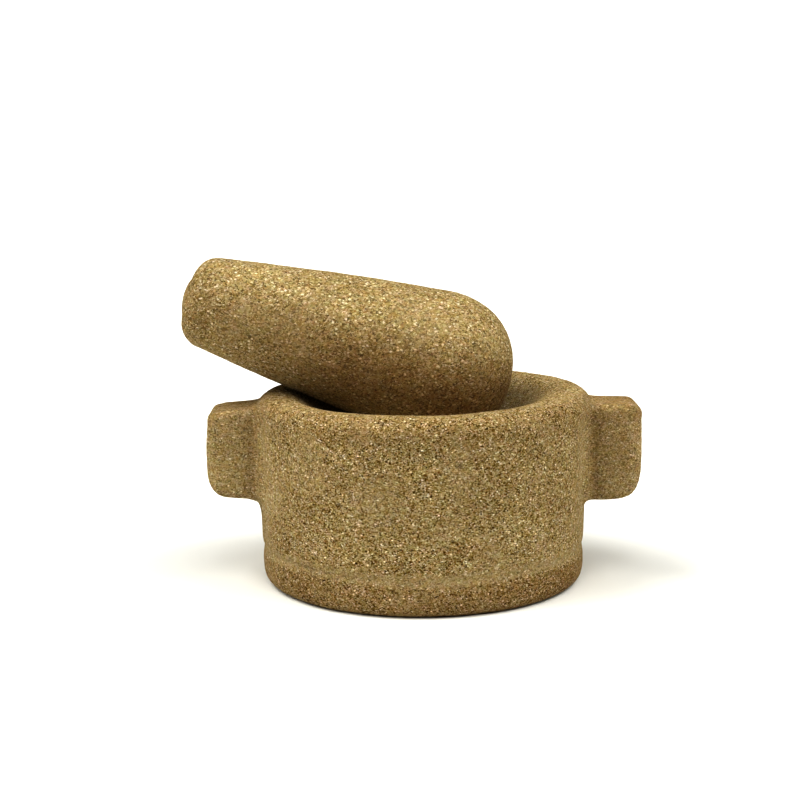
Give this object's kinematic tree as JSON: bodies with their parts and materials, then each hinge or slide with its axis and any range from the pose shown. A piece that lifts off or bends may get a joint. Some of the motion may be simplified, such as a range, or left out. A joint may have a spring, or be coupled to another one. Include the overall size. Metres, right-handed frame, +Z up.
{
  "type": "mortar and pestle",
  "caption": "Round carved-stone mortar with a shallow bowl, broad rounded rim and a lug on each side, and a loose tapered stone pestle resting in it.",
  "frame": {"origin": "centre of the mortar's flat base, on the surface it stands on", "axes": "+Z up out of the bowl, X along the two lugs with the pestle's thin end towards -X, +Y to the back"},
  "size_m": [0.1811, 0.13, 0.1268],
  "materials": {
    "mortar_stone": "coarse tan-brown sandstone, cut and rubbed, grains about 1 mm, dry and matt",
    "pestle_stone": "the same tan-brown sandstone, rubbed a little smoother, with more pale quartz grains"
  },
  "bodies": {
    "mortar": {"mortar": "mortar_stone"},
    "pestle": {"pestle": "pestle_stone"}
  },
  "joints": [
    {"name": "pestle_lift", "type": "slide", "parent": "mortar", "child": "pestle", "axis": [0, 0, 1], "range_m": [0, 0.15]}
  ]
}
